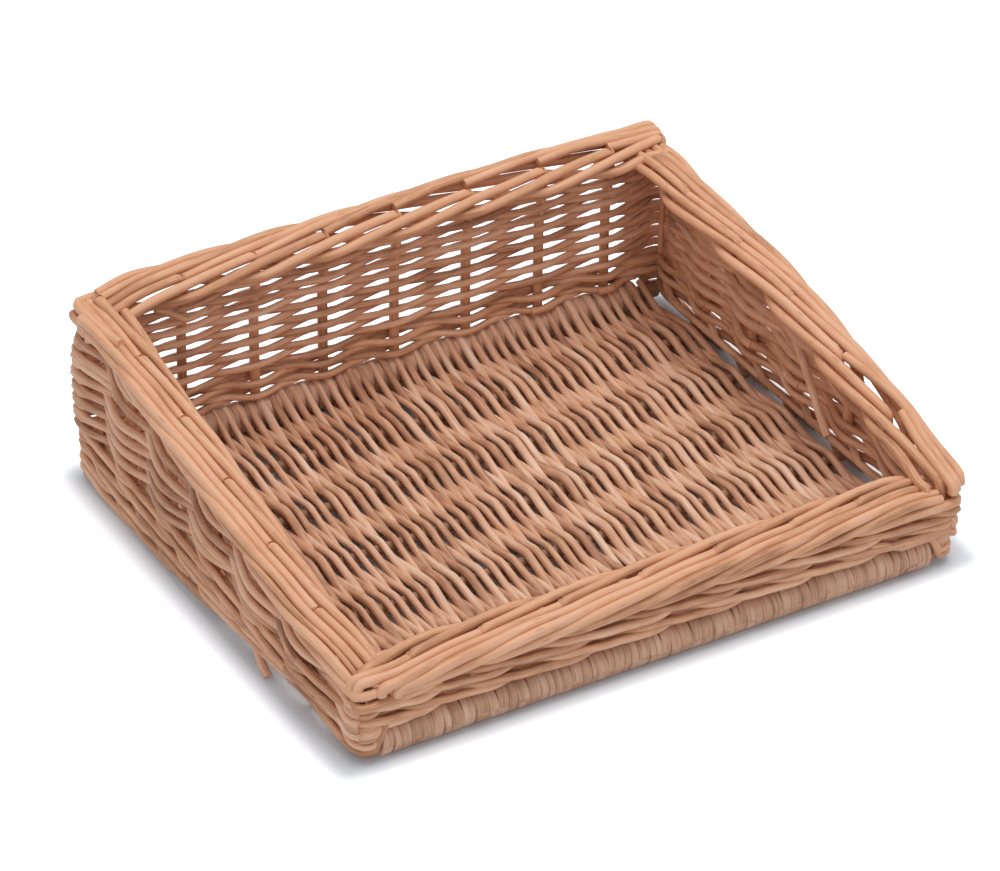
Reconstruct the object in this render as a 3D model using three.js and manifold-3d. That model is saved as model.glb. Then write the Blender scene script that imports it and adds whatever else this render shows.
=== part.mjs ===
import * as THREE from 'three';
import { mergeVertices } from 'three/addons/utils/BufferGeometryUtils.js';
import Module from 'manifold-3d';

// A willow display tray with a low front, a high back and side walls that slope between them.
// All lengths are millimetres. X runs along the front, Y towards the back, Z up.
// The origin is on the table, under the middle of the tray.

const wasm = await Module();
wasm.setup();

// Outer sizes of the tray, over the border
const tray_width = 460;
const tray_depth = 384;
const front_height = 60;
const back_height = 147;

// Willow rods, by what they do
const stake_diameter = 7.2;
const edge_stick_diameter = 10;
const floor_stick_diameter = 8;
const floor_weaver_diameter = 4.8;
const wall_weaver_diameter = 5;
const wale_weaver_diameter = 6.2;

// Spaces between rods
const clearance = 0.3;
const border_rod_gap = 0.75;
const border_end_gap = 1.2;
const roll_inset = 27;
const foot_flat = 0.5;
const side_foot_gap = 2;

// Weave of the walls, seen as stacked rows
const wall_row_pitch = 5;
const row_groove = 1.2;
const wale_rows = 4;
const side_foot_rows = 2;
const row_crest_shares = [0.3, 0.7];

// Where the stakes stand: evenly in the side walls, as placed by hand in the front and back walls
const side_bays = 6;
const front_stake_shares = [0.075, 0.196, 0.334, 0.474, 0.603, 0.736, 0.85];
const back_stake_shares = [0.091, 0.215, 0.349, 0.479, 0.607, 0.728, 0.854];

// How finely round things are cut
const rod_sides = 6;
const stick_sides = 12;
const elbow_steps = 3;
const roll_steps = 8;
const corner_steps = 3;

// Colours of the buff willow
const border_colour = 0xd09c7d;
const stake_colour = 0xb98a6b;
const wall_colour = 0xa4765e;
const floor_colour = 0xb3846a;
const stick_colour = 0xa97c5c;
const willow_roughness = 0.62;

// The course of a border rod after its elbow, in bays along, rod lanes outward and rod lanes down:
// inside the next two stakes, under the others to the outside, past two more stakes and cut off
const border_course_shares = [
  [0.5, -0.5, 0],
  [1, -1, 0],
  [1.5, -1.45, 0.42],
  [2, -1.5, 0.95],
  [2.25, -0.8, 1.2],
  [2.5, 0, 1.3],
  [2.75, 0.8, 1.2],
  [3, 1.5, 0.95],
  [3.5, 1.45, 0.42],
  [4, 1, 0],
  [4.55, 0.45, 0],
];
const outermost_lane_share = 1.5;
const lowest_lane_share = 1.3;
const elbow_radius_share = 1.1;
const rods_before_corner = 3;

// Sizes that follow from those above
const stake_radius = stake_diameter / 2;
const lane = stake_diameter + border_rod_gap;
const rim_slope = (back_height - front_height) / tray_depth;
const rim_stretch = Math.hypot(1, rim_slope);
const border_half_width = outermost_lane_share * lane + stake_radius;
const border_depth = (lowest_lane_share * lane + stake_diameter) * rim_stretch;
const wall_half_width = tray_width / 2 - border_half_width;
const wall_half_depth = tray_depth / 2 - border_half_width;
const wall_half_thickness = stake_radius + wall_weaver_diameter;
const wale_half_thickness = stake_radius + wale_weaver_diameter;
const stick_pitch = 2 * wall_half_depth / side_bays;
const edge_roll_radius = edge_stick_diameter / 2 + floor_weaver_diameter;
const floor_ridge_radius = floor_stick_diameter / 2 + floor_weaver_diameter;
const floor_half_width = tray_width / 2 - roll_inset;
const wale_bottom = 2 * edge_roll_radius - foot_flat + clearance;
const wale_top = rim_height(-wall_half_depth - wale_half_thickness) - border_depth - clearance;
const wall_bottom = wale_top + clearance;

const sticks = Array.from({ length: side_bays + 1 }, (_, number) => {
  const at_edge = number === 0 || number === side_bays;
  const radius = (at_edge ? edge_stick_diameter : floor_stick_diameter) / 2;
  const ridge = at_edge ? edge_roll_radius : floor_ridge_radius;
  return { radius, ridge, y: number * stick_pitch - wall_half_depth, z: ridge - foot_flat };
});

// The walls, each followed from the corner post where its border starts to the next one
const walls = [
  { name: 'front', start: [-1, -1], travel: [1, 0], shares: front_stake_shares },
  { name: 'right', start: [1, -1], travel: [0, 1], shares: evenly_spaced(side_bays) },
  { name: 'back', start: [1, 1], travel: [-1, 0], shares: back_stake_shares },
  { name: 'left', start: [-1, 1], travel: [0, -1], shares: evenly_spaced(side_bays) },
];
for (const wall of walls) {
  wall.travel = new THREE.Vector2(...wall.travel);
  wall.outward = new THREE.Vector2(wall.travel.y, -wall.travel.x);
  wall.start = new THREE.Vector2(wall.start[0] * wall_half_width, wall.start[1] * wall_half_depth);
  wall.length = 2 * (wall.travel.x === 0 ? wall_half_depth : wall_half_width);
  wall.stops = [0, ...wall.shares.map((share) => share * wall.length), wall.length];
}

// Height of the sloping rim at a place between front and back
function rim_height(y) {
  return front_height + (y + tray_depth / 2) * rim_slope;
}

function evenly_spaced(bays) {
  return Array.from({ length: bays - 1 }, (_, number) => (number + 1) / bays);
}

function plan_point(wall, along, outward) {
  return wall.start.clone().addScaledVector(wall.travel, along).addScaledVector(wall.outward, outward);
}

// A point in the border, below the centres of its top rods
function border_point(wall, along, outward, below) {
  const place = plan_point(wall, along, outward);
  const top = rim_height(place.y) - stake_radius * rim_stretch;
  return new THREE.Vector3(place.x, place.y, top - below * rim_stretch);
}

// Distance along a wall, counted in stakes from its first corner post
function along_at(wall, count) {
  const last = wall.stops.length - 1;
  const stake = Math.min(Math.max(Math.floor(count), 0), last - 1);
  return THREE.MathUtils.lerp(wall.stops[stake], wall.stops[stake + 1], count - stake);
}

// The smooth middle line of a bent rod, through points that are close at bends and far on straights
class RodLine extends THREE.Curve {
  constructor(points) {
    super();
    this.points = points;
    this.last = points.length - 1;
  }

  getPointAt(share, target = new THREE.Vector3()) {
    const place = share * this.last;
    const before = Math.min(Math.floor(place), this.last - 1);
    return target.lerpVectors(this.points[before], this.points[before + 1], place - before);
  }

  getTangentAt(share, target = new THREE.Vector3()) {
    const here = Math.round(share * this.last);
    const arriving = new THREE.Vector3();
    target.set(0, 0, 0);
    if (here > 0) target.subVectors(this.points[here], this.points[here - 1]).normalize();
    if (here < this.last) arriving.subVectors(this.points[here + 1], this.points[here]).normalize();
    return target.add(arriving).normalize();
  }
}

function round_outline(radius, sides) {
  const corners = Array.from({ length: sides }, (_, number) => {
    const angle = 2 * Math.PI * number / sides;
    return new THREE.Vector2(radius * Math.cos(angle), radius * Math.sin(angle));
  });
  return new THREE.Shape(corners);
}

function rod_along(points) {
  const line = new RodLine(points);
  const settings = { steps: line.last, extrudePath: line, bevelEnabled: false };
  return new THREE.ExtrudeGeometry(round_outline(stake_radius, rod_sides), settings);
}

// Radius of a hole with flat sides that clears a round rod
function hole_radius(rod_radius) {
  return (rod_radius + clearance) / Math.cos(Math.PI / stick_sides);
}

// Joining and cutting
function to_solid(geometry) {
  const bare = geometry.clone();
  bare.deleteAttribute('normal');
  bare.deleteAttribute('uv');
  const merged = mergeVertices(bare);
  const vertProperties = new Float32Array(merged.attributes.position.array);
  const triVerts = new Uint32Array(merged.index.array);
  return new wasm.Manifold(new wasm.Mesh({ numProp: 3, vertProperties, triVerts }));
}

function to_geometry(solid) {
  const mesh = solid.getMesh();
  const geometry = new THREE.BufferGeometry();
  geometry.setAttribute('position', new THREE.BufferAttribute(mesh.vertProperties, 3));
  geometry.setIndex(new THREE.BufferAttribute(mesh.triVerts, 1));
  geometry.computeVertexNormals();
  return geometry;
}

const tray = new THREE.Group();

function add_piece(name, geometry, color) {
  const material = new THREE.MeshStandardMaterial({ color, roughness: willow_roughness, metalness: 0 });
  const piece = new THREE.Mesh(geometry, material);
  piece.name = name;
  tray.add(piece);
  return piece;
}

// Base sticks, lying along X, whose ends carry the corner posts and the side stakes
function make_base_sticks() {
  const length = 2 * wall_half_width + stake_diameter;
  sticks.forEach((stick, number) => {
    const rod = new THREE.CylinderGeometry(stick.radius, stick.radius, length, stick_sides);
    rod.rotateZ(Math.PI / 2);
    const ends = { 0: 'base_front_stick', [side_bays]: 'base_rear_stick' };
    const name = ends[number] ?? `base_stick_${number}`;
    add_piece(name, rod, stick_colour).position.set(0, stick.y, stick.z);
  });
}

// Height of the floor's middle and half its thickness, at a share of the way past a stick
function floor_section(number, share) {
  const here = sticks[number];
  const next = sticks[Math.min(number + 1, side_bays)];
  const ridge = THREE.MathUtils.lerp(here.ridge, next.ridge, share);
  const rise = (ridge - floor_weaver_diameter) * (1 + Math.cos(2 * Math.PI * share)) / 2;
  const middle = THREE.MathUtils.lerp(here.z, next.z, share);
  return { top: middle + floor_weaver_diameter + rise, bottom: middle - floor_weaver_diameter - rise };
}

// Floor weave: weavers over and under the sticks, wrapped round the front and rear ones as rolls
function make_floor_weave() {
  const foot_share = 0.06;
  const bay_shares = [foot_share, 0.17, 0.33, 0.5, 0.67, 0.83, 1 - foot_share];
  const tops = [];
  const bottoms = [];
  for (let number = 0; number < side_bays; number += 1) {
    for (const share of bay_shares) {
      const y = sticks[number].y + share * stick_pitch;
      const section = floor_section(number, share);
      const on_table = share === foot_share || share === 1 - foot_share;
      tops.push(new THREE.Vector2(y, section.top));
      bottoms.push(new THREE.Vector2(y, on_table ? 0 : Math.max(section.bottom, 0)));
    }
  }
  const roll = [];
  const below_axis = Math.asin(sticks[0].z / edge_roll_radius);
  for (let step = 0; step <= roll_steps; step += 1) {
    const angle = Math.PI / 2 - step / roll_steps * (Math.PI / 2 + below_axis);
    const reach = edge_roll_radius * Math.cos(angle);
    const z = Math.max(sticks[0].z + edge_roll_radius * Math.sin(angle), 0);
    roll.push(new THREE.Vector2(wall_half_depth + reach, z));
  }
  const front_roll = roll.map((point) => new THREE.Vector2(-point.x, point.y)).reverse();
  const outline = new THREE.Shape([...front_roll, ...tops, ...roll, ...bottoms.reverse()].reverse());
  for (const stick of sticks) {
    const hole = round_outline(hole_radius(stick.radius), stick_sides).getPoints();
    outline.holes.push(new THREE.Path(hole.map((p) => new THREE.Vector2(p.x + stick.y, p.y + stick.z))));
  }
  const settings = { depth: 2 * floor_half_width, bevelEnabled: false };
  const weave = new THREE.ExtrudeGeometry(outline, settings);
  weave.translate(0, 0, -floor_half_width);
  weave.rotateX(Math.PI / 2);
  weave.rotateZ(Math.PI / 2);
  let solid = to_solid(weave);
  for (const wall of walls.filter((each) => each.travel.y === 0)) {
    solid = solid.subtract(stake_holes(wall, sticks[0].z, wale_bottom));
  }
  add_piece('floor_weave', to_geometry(solid), floor_colour);
}

// Holes for all the stakes and corner posts of a wall, between two heights
function stake_holes(wall, bottom, top) {
  const holes = wall.stops.map((along) => {
    const radius = hole_radius(stake_radius);
    const hole = new THREE.CylinderGeometry(radius, radius, top - bottom, stick_sides);
    const place = plan_point(wall, along, 0);
    hole.rotateX(Math.PI / 2);
    hole.translate(place.x, place.y, (top + bottom) / 2);
    return to_solid(hole);
  });
  return wasm.Manifold.union(holes);
}

// Plan of a wall's foot, with an end rounded about each corner post
function foot_plan(wall, half_thickness) {
  const places = [];
  for (let step = 0; step <= 2 * corner_steps; step += 1) {
    const angle = Math.PI * (3 / 2 - step / corner_steps / 2);
    places.push([half_thickness * Math.cos(angle), half_thickness * Math.sin(angle)]);
  }
  return closed_plan(wall, places);
}

// Plan of a wall, mitred at both corner posts and rounded about them on the outside
function wall_plan(wall, half_thickness) {
  const places = [[half_thickness + clearance, -half_thickness]];
  for (let step = 0; step <= corner_steps; step += 1) {
    const angle = Math.PI / 4 * (3 - step / corner_steps);
    const mitre = step === 0 ? clearance : 0;
    places.push([half_thickness * Math.cos(angle) + mitre, half_thickness * Math.sin(angle)]);
  }
  return closed_plan(wall, places);
}

// A plan whose two ends are alike, from the places round the first end
function closed_plan(wall, places) {
  const far_places = places.map(([along, outward]) => [wall.length - along, outward]).reverse();
  return new THREE.Shape([...places, ...far_places].map((place) => plan_point(wall, ...place)));
}

// Woven rows on a plan, as a solid with a groove between each row and the next
function woven_rows(wall, shape, half_thickness, bottom, pitch, rows) {
  const face = [];
  for (let row = 0; row < rows; row += 1) {
    const low = bottom + row * pitch;
    face.push([half_thickness - row_groove, low]);
    face.push(...row_crest_shares.map((share) => [half_thickness, low + share * pitch]));
  }
  face.push([half_thickness - row_groove, bottom + rows * pitch]);
  const other_face = face.map(([across, up]) => [-across, up]).reverse();
  const outline = new THREE.Shape([...face, ...other_face].map((place) => new THREE.Vector2(...place)));
  const length = wall.length + 2 * half_thickness;
  const bar = new THREE.ExtrudeGeometry(outline, { depth: length, bevelEnabled: false });
  const middle = plan_point(wall, wall.length / 2, 0);
  bar.translate(0, 0, -length / 2);
  bar.rotateX(Math.PI / 2);
  bar.rotateZ(wall.travel.x === 0 ? 0 : Math.PI / 2);
  bar.translate(middle.x, middle.y, 0);
  const plan = new THREE.ExtrudeGeometry(shape, { depth: rows * pitch, bevelEnabled: false });
  plan.translate(0, 0, bottom);
  return to_solid(bar).intersect(to_solid(plan));
}

// All the space under the border
function space_under_border() {
  const heights = [-tray_depth, tray_depth].map((y) => {
    return new THREE.Vector2(y, rim_height(y) - border_depth - clearance);
  });
  const outline = new THREE.Shape([...heights, heights[1].clone().setY(-tray_depth),
    heights[0].clone().setY(-tray_depth)].reverse());
  const space = new THREE.ExtrudeGeometry(outline, { depth: 2 * tray_width, bevelEnabled: false });
  space.translate(0, 0, -tray_width);
  space.rotateX(Math.PI / 2);
  space.rotateZ(Math.PI / 2);
  return to_solid(space);
}

// Sockets for the ends of the base sticks
function stick_sockets() {
  return wasm.Manifold.union(sticks.map((stick) => {
    const radius = hole_radius(stick.radius);
    const length = 2 * (wall_half_width + stake_radius + clearance);
    const socket = new THREE.CylinderGeometry(radius, radius, length, stick_sides);
    socket.rotateZ(Math.PI / 2);
    socket.translate(0, stick.y, stick.z);
    return to_solid(socket);
  }));
}

// Wale: the band of stouter weavers round the foot of the walls. It stands on the front and rear
// rolls, and at the sides it goes on down over the ends of the base sticks.
function make_wales() {
  for (const wall of walls) {
    const at_side = wall.travel.x === 0;
    const bottom = at_side ? wale_bottom - clearance : wale_bottom;
    const pitch = (wale_top - bottom) / wale_rows;
    const plan = wall_plan(wall, wale_half_thickness);
    let band = woven_rows(wall, plan, wale_half_thickness, bottom, pitch, wale_rows);
    if (at_side) {
      const foot_pitch = (bottom - side_foot_gap) / side_foot_rows;
      const foot = foot_plan(wall, wale_half_thickness - row_groove);
      const rows = woven_rows(wall, foot, wale_half_thickness, side_foot_gap, foot_pitch, side_foot_rows);
      band = band.add(rows).subtract(stick_sockets());
    }
    const holes = stake_holes(wall, floor_ridge_radius, back_height);
    add_piece(`${wall.name}_wale`, to_geometry(band.subtract(holes)), wall_colour);
  }
}

// Wall weaves: the walls above the wale. At the front the wale reaches the border.
function make_wall_weaves() {
  const below_border = space_under_border();
  const rows = Math.ceil((back_height - wall_bottom) / wall_row_pitch);
  for (const wall of walls.filter((each) => each.name !== 'front')) {
    const plan = wall_plan(wall, wall_half_thickness);
    const full = woven_rows(wall, plan, wall_half_thickness, wall_bottom, wall_row_pitch, rows);
    const weave = full.intersect(below_border).subtract(stake_holes(wall, 0, back_height));
    add_piece(`${wall.name}_wall_weave`, to_geometry(weave), wall_colour);
  }
}

// The part of a border rod's course that lies on its wall, from after an elbow at a stake's number
function border_run(wall, stake) {
  const nearest = border_end_gap - border_half_width;
  const farthest = wall.length - border_half_width - border_end_gap;
  const course = [[0, 0, 0], ...border_course_shares].map(([bays, outward, below]) => {
    return { along: along_at(wall, stake + bays), outward: outward * lane, below: below * lane };
  });
  const run = [];
  course.forEach((here, number) => {
    const before = course[number - 1];
    for (const edge of [nearest, farthest]) {
      if (before && before.along < edge && here.along > edge) run.push(course_between(before, here, edge));
    }
    if (here.along >= nearest && here.along <= farthest) run.push(here);
  });
  return run.map((place) => border_point(wall, place.along, place.outward, place.below));
}

function course_between(before, after, along) {
  const share = (along - before.along) / (after.along - before.along);
  const outward = THREE.MathUtils.lerp(before.outward, after.outward, share);
  const below = THREE.MathUtils.lerp(before.below, after.below, share);
  return { along, outward, below };
}

// A stake: upright through the weave, bent over at the rim, and laid along the border
function stake_line(wall, number, foot) {
  const along = wall.stops[number];
  const bend = elbow_radius_share * stake_diameter;
  const upright = border_point(wall, along, 0, bend);
  const corner = border_point(wall, along, 0, 0);
  const run = border_run(wall, number).slice(1);
  const over = corner.clone().add(run[0].clone().sub(corner).setLength(bend));
  const elbow = new THREE.QuadraticBezierCurve3(upright, corner, over);
  return [upright.clone().setZ(foot), ...elbow.getPoints(elbow_steps), ...run];
}

// Stakes and corner posts of each wall, standing on the base sticks
function make_stakes() {
  for (const wall of walls) {
    for (let number = 0; number < wall.stops.length - 1; number += 1) {
      const along_sticks = wall.travel.y === 0 || number === 0;
      const stick = along_sticks ? sticks[0] : sticks[1];
      const line = stake_line(wall, number, stick.z + stick.radius + clearance);
      const name = number === 0 ? `${wall.name}_corner_post` : `${wall.name}_stake_${number}`;
      add_piece(name, rod_along(line), number === 0 ? border_colour : stake_colour);
    }
  }
}

// Border fillers: the rods that fill the start of each border, before its own stakes reach it
function make_border_fillers() {
  for (const wall of walls) {
    for (let number = 1; number <= rods_before_corner; number += 1) {
      add_piece(`${wall.name}_border_filler_${number}`, rod_along(border_run(wall, -number)), border_colour);
    }
  }
}

make_base_sticks();
make_floor_weave();
make_wales();
make_wall_weaves();
make_stakes();
make_border_fillers();

export default tray;
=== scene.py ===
import math
import random
import bpy
import numpy as np
from mathutils import Matrix, Vector, noise


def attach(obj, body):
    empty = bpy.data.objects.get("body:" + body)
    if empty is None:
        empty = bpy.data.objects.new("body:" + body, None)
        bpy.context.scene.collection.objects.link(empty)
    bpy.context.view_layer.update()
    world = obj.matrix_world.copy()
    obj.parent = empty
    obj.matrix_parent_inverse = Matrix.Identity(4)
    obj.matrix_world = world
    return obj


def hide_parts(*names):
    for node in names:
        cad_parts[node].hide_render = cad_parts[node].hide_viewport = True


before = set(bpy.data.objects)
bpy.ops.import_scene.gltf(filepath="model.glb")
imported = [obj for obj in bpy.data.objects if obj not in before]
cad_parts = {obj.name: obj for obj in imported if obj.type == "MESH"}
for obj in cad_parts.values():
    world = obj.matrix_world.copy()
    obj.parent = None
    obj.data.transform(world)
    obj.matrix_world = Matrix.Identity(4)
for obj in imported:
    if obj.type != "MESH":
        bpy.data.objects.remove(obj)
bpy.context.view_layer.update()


# The table: a pale sheet under the tray, lit by a broad soft lamp overhead and the light of a
# white room. It looks plain white to the camera, and still holds the tray's shadow close to the
# tray. Farther out a glow that only the camera sees whites the shadow out, so the shadow's outer
# edge is painted light.
mm = 0.001
sheet_size = 9000 * mm
sheet_colour = (0.82, 0.88, 0.95)
camera_glow_strength = 0.5
shadow_from, shadow_to = 2 * mm, 20 * mm
tray_half_size = (226 * mm, 186 * mm)
room_light = 0.66
lamp_size = 1500 * mm
lamp_power = 27
lamp_place = (300 * mm, 40 * mm, 2500 * mm)
lamp_aim = (0, 0, 0)

bpy.ops.object.select_all(action="DESELECT")
bpy.ops.mesh.primitive_grid_add(x_subdivisions=4, y_subdivisions=4, size=sheet_size)
sheet = bpy.context.object
sheet.name = "table_sheet"
white = bpy.data.materials.new("white_sheet")
white.use_nodes = True
nodes, links = white.node_tree.nodes, white.node_tree.links
nodes.clear()
output = nodes.new("ShaderNodeOutputMaterial")
matt = nodes.new("ShaderNodeBsdfDiffuse")
matt.inputs["Color"].default_value = (*sheet_colour, 1)
lift = nodes.new("ShaderNodeEmission")
lift.inputs["Color"].default_value = (1, 1, 1, 1)
place = nodes.new("ShaderNodeTexCoord")
sides = nodes.new("ShaderNodeVectorMath")
sides.operation = "ABSOLUTE"
beyond = nodes.new("ShaderNodeVectorMath")
beyond.operation = "SUBTRACT"
beyond.inputs[1].default_value = (*tray_half_size, 0)
outside = nodes.new("ShaderNodeVectorMath")
outside.operation = "MAXIMUM"
outside.inputs[1].default_value = (0, 0, 0)
distance = nodes.new("ShaderNodeVectorMath")
distance.operation = "LENGTH"
# Painted light: the camera-only glow fades in from shadow_from to shadow_to beyond the tray's footprint and
# whites out the tray's real shadow there, so it paints the shadow's outer edge.
lifted = nodes.new("ShaderNodeMapRange")
lifted.interpolation_type = "SMOOTHSTEP"
lifted.inputs["From Min"].default_value = shadow_from
lifted.inputs["From Max"].default_value = shadow_to
lifted.inputs["To Max"].default_value = camera_glow_strength
seen = nodes.new("ShaderNodeLightPath")
strength = nodes.new("ShaderNodeMath")
strength.operation = "MULTIPLY"
together = nodes.new("ShaderNodeAddShader")
links.new(place.outputs["Object"], sides.inputs[0])
links.new(sides.outputs["Vector"], beyond.inputs[0])
links.new(beyond.outputs["Vector"], outside.inputs[0])
links.new(outside.outputs["Vector"], distance.inputs[0])
links.new(distance.outputs["Value"], lifted.inputs["Value"])
links.new(seen.outputs["Is Camera Ray"], strength.inputs[0])
links.new(lifted.outputs[0], strength.inputs[1])
links.new(strength.outputs[0], lift.inputs["Strength"])
links.new(matt.outputs[0], together.inputs[0])
links.new(lift.outputs[0], together.inputs[1])
links.new(together.outputs[0], output.inputs["Surface"])
sheet.data.materials.append(white)

world = bpy.data.worlds.new("white_room")
bpy.context.scene.world = world
world.use_nodes = True
nodes, links = world.node_tree.nodes, world.node_tree.links
background = nodes["Background"]
background.inputs["Color"].default_value = (1, 1, 1, 1)
seen = nodes.new("ShaderNodeLightPath")
level = nodes.new("ShaderNodeMapRange")
level.inputs["To Min"].default_value = room_light
level.inputs["To Max"].default_value = 1
links.new(seen.outputs["Is Camera Ray"], level.inputs["Value"])
links.new(level.outputs[0], background.inputs["Strength"])

lamp = bpy.data.lights.new("soft_lamp", "AREA")
lamp.shape = "SQUARE"
lamp.size = lamp_size
lamp.energy = lamp_power
lamp_stand = bpy.data.objects.new("soft_lamp", lamp)
lamp_stand.location = lamp_place
lamp_stand.rotation_euler = (Vector(lamp_aim) - Vector(lamp_place)).to_track_quat("-Z", "Y").to_euler()
bpy.context.collection.objects.link(lamp_stand)
bpy.context.scene.view_settings.view_transform = "Standard"


# The camera, where the photograph was taken from: to the left of the low front, looking down.
camera_azimuth = math.radians(-30.07)
camera_elevation = math.radians(33.54)
camera_roll = math.radians(0.018)
camera_distance = 3246 * mm
camera_target = Vector((38.5, 87.3, 0)) * mm
picture_width_pixels = 1000
focal_pixels = 4817
sensor_width = 36
farthest_seen = 50

camera = bpy.data.cameras.new("camera")
camera.sensor_width = sensor_width
camera.lens = focal_pixels * sensor_width / picture_width_pixels
camera.clip_end = farthest_seen
back = Vector((math.sin(camera_azimuth) * math.cos(camera_elevation),
               -math.cos(camera_azimuth) * math.cos(camera_elevation), math.sin(camera_elevation)))
level_right = Vector((0, 0, 1)).cross(back).normalized()
level_up = back.cross(level_right)
right = level_right * math.cos(camera_roll) + level_up * math.sin(camera_roll)
up = level_up * math.cos(camera_roll) - level_right * math.sin(camera_roll)
tripod = bpy.data.objects.new("camera", camera)
turned = Matrix((right, up, back)).transposed().to_4x4()
tripod.matrix_world = Matrix.Translation(camera_target + back * camera_distance) @ turned
bpy.context.collection.objects.link(tripod)
bpy.context.scene.camera = tripod


# Base sticks: seven stout straight willow rods that lie across the tray under the floor. Their
# ends are cut square and stand in the feet of the side walls.
stake_line_x = 214.47
stake_line_y = 176.47
side_bays = 6
stick_pitch = 2 * stake_line_y / side_bays
edge_stick_radius, floor_stick_radius = 5.75, 3.5
edge_stick_height, floor_stick_height = 11.3, 8.3
roll_forward = 3
stick_reach, front_stick_reach = 217.9, 209
stick_steps = 40
stick_sway, sway_length = 0.35, 90
stick_swell, swell_length = 0.25, 45
stick_thinning = 0.15
stick_tones = (0.35, 0.6)
stout_rounding, thin_rounding = 4, 2
smooth_angle = math.radians(62)
grain_shift = (0.013, 0, 0.731)
blotch_scale, streak_scale = (90, 90, 26), (1100, 1100, 30)
fibre_scale, scar_scale = (3200, 3200, 110), (210, 210, 34)
fibre_share = 0.4
dark_stop, middle_stop, pale_stop = 0.12, 0.5, 0.9
scar_edge, scar_strength, scar_shade = (0.08, 0.16), 0.35, (0.6, 0.55, 0.5)
least_rough, most_rough = 0.78, 0.98
shine = 0.42
bump_strength, bump_depth = 0.4, 0.25 * mm
chance = random.Random(11)


def remember(mesh, grain, tone):
    """Keep each point's place in its rod's own grain, unbent, and how pale its rod is."""
    grains = mesh.attributes.new("grain", "FLOAT_VECTOR", "POINT")
    grains.data.foreach_set("vector", grain.ravel())
    tones = mesh.attributes.new("tone", "FLOAT", "POINT")
    tones.data.foreach_set("value", tone)


def lay_rods(name, rods, rounding, tones):
    """One mesh of many rods, each a list of (x, y, z, radius) in millimetres, closed at its ends."""
    bpy.ops.object.select_all(action="DESELECT")
    bpy.ops.curve.primitive_nurbs_path_add()
    piece = bpy.context.object
    piece.name = name
    curve = piece.data
    curve.splines.clear()
    curve.bevel_depth = mm
    curve.bevel_resolution = rounding
    sides = 4 + 2 * rounding
    turn = np.arange(sides) * 2 * math.pi / sides
    ring = np.stack([np.cos(turn), np.sin(turn), np.zeros(sides)], axis=1)
    grain, tone = [], []
    for number, rod in enumerate(rods):
        places = np.array(rod)
        spline = curve.splines.new("POLY")
        spline.points.add(len(rod) - 1)
        corners = np.ones((len(rod), 4))
        corners[:, :3] = places[:, :3] * mm
        spline.points.foreach_set("co", corners.ravel())
        spline.points.foreach_set("radius", places[:, 3])
        steps = np.linalg.norm(np.diff(places[:, :3], axis=0), axis=1)
        unbent = ring[None, :, :] * places[:, 3][:, None, None] * mm
        unbent[:, :, 2] = (np.concatenate(([0], np.cumsum(steps))) * mm)[:, None]
        grain.append(unbent.reshape(-1, 3) + np.array(grain_shift) * number)
        tone.append(np.full(len(rod) * sides, tones[number]))
    bpy.ops.object.convert(target="MESH")
    bpy.ops.object.mode_set(mode="EDIT")
    bpy.ops.mesh.select_all(action="SELECT")
    bpy.ops.mesh.fill_holes(sides=0)
    bpy.ops.mesh.select_all(action="SELECT")
    bpy.ops.mesh.normals_make_consistent(inside=False)
    bpy.ops.object.mode_set(mode="OBJECT")
    bpy.ops.object.shade_smooth_by_angle(angle=smooth_angle)
    while piece.data.uv_layers:
        piece.data.uv_layers.remove(piece.data.uv_layers[0])
    remember(piece.data, np.concatenate(grain), np.concatenate(tone))
    piece.data.materials.clear()
    return piece


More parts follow.
